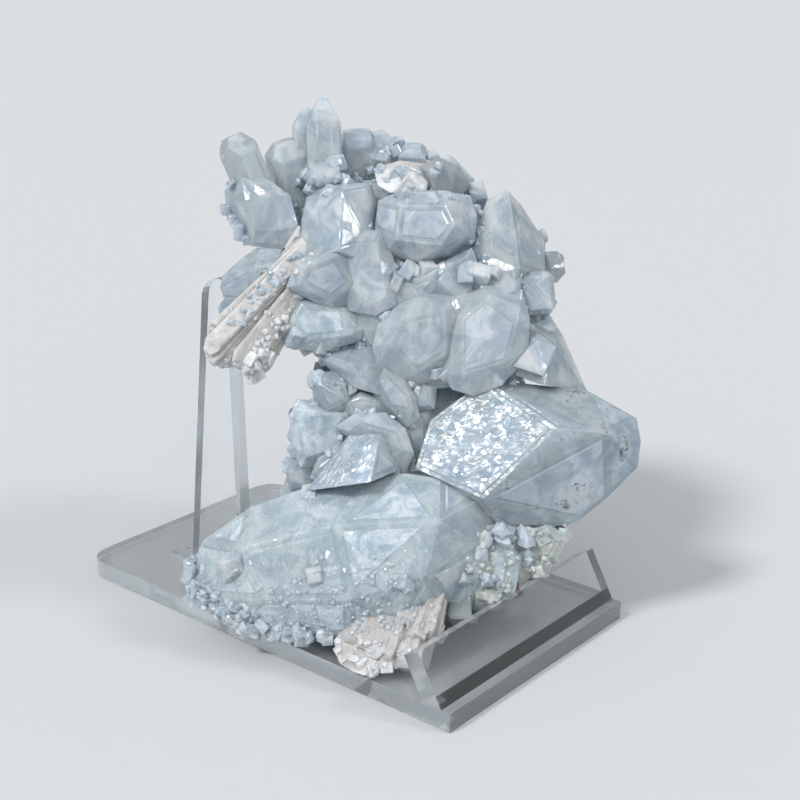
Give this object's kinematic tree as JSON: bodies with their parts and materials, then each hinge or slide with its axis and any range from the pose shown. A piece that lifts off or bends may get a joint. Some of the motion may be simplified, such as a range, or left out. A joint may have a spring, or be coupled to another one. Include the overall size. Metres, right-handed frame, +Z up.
{
  "type": "apophyllite cluster on a display stand",
  "caption": "Cluster of pale, glassy to milky square crystals with cream bladed stilbite, resting on a clear acrylic stand with a bent-up front lip and an upright fin behind.",
  "frame": {"origin": "centre of the underside of the stand's flat plate, on the surface it stands on", "axes": "+Z up; the stand's bent-up lip runs along X at the -Y edge and its upright fin is at the +Y end; the specimen's show side faces -X and -Y"},
  "size_m": [0.0952, 0.1119, 0.1093],
  "materials": {
    "apophyllite": "gloss",
    "clear_acrylic_base": "gloss",
    "clear_acrylic_upright": "gloss"
  },
  "bodies": {
    "root": {"apophyllite_cluster": "apophyllite", "stand_base": "clear_acrylic_base", "stand_upright": "clear_acrylic_upright"}
  },
  "joints": []
}
